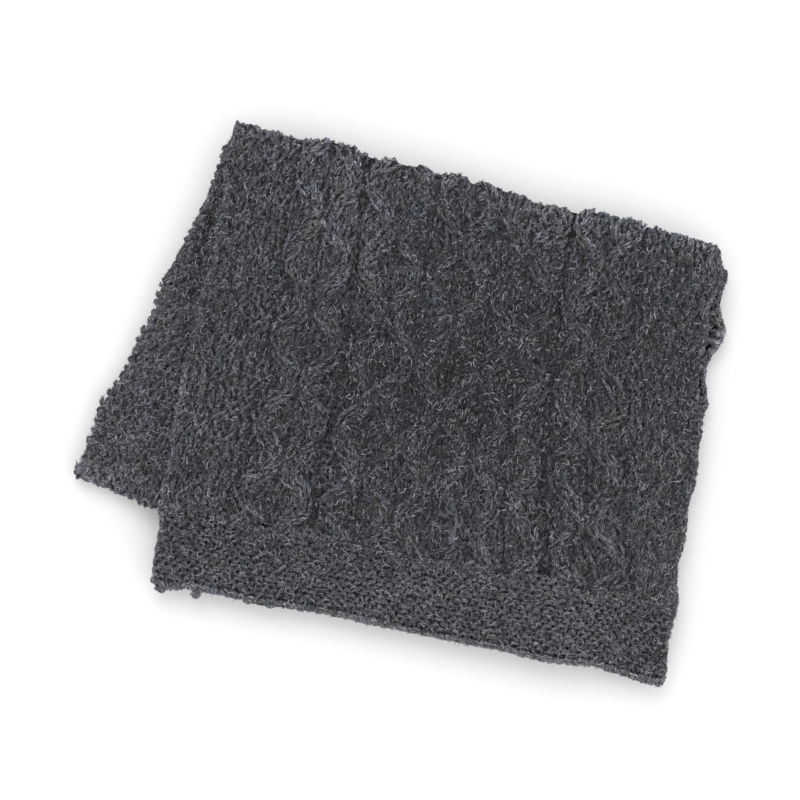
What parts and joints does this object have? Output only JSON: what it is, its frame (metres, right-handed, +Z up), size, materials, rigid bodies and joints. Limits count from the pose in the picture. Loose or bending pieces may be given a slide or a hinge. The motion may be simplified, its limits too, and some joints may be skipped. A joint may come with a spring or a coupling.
{
  "type": "folded knit scarf",
  "caption": "Thick cable-knit wool scarf folded in a zigzag into a flat stack, with honeycomb and O-cable panels and a garter end border on top.",
  "frame": {"origin": "centre of the stack's bounding box, on the surface it rests on", "axes": "+X across the scarf, +Y from the garter end on top towards the back fold, +Z up through the layers"},
  "size_m": [0.3726, 0.2902, 0.0303],
  "materials": {
    "charcoal_wool": "matte heathered charcoal wool, plied, with a soft fuzz of lighter fibres"
  },
  "bodies": {
    "root": {"end_border": "charcoal_wool", "top_stretch": "charcoal_wool", "second_stretch": "charcoal_wool", "hidden_layers": "charcoal_wool"}
  },
  "joints": []
}
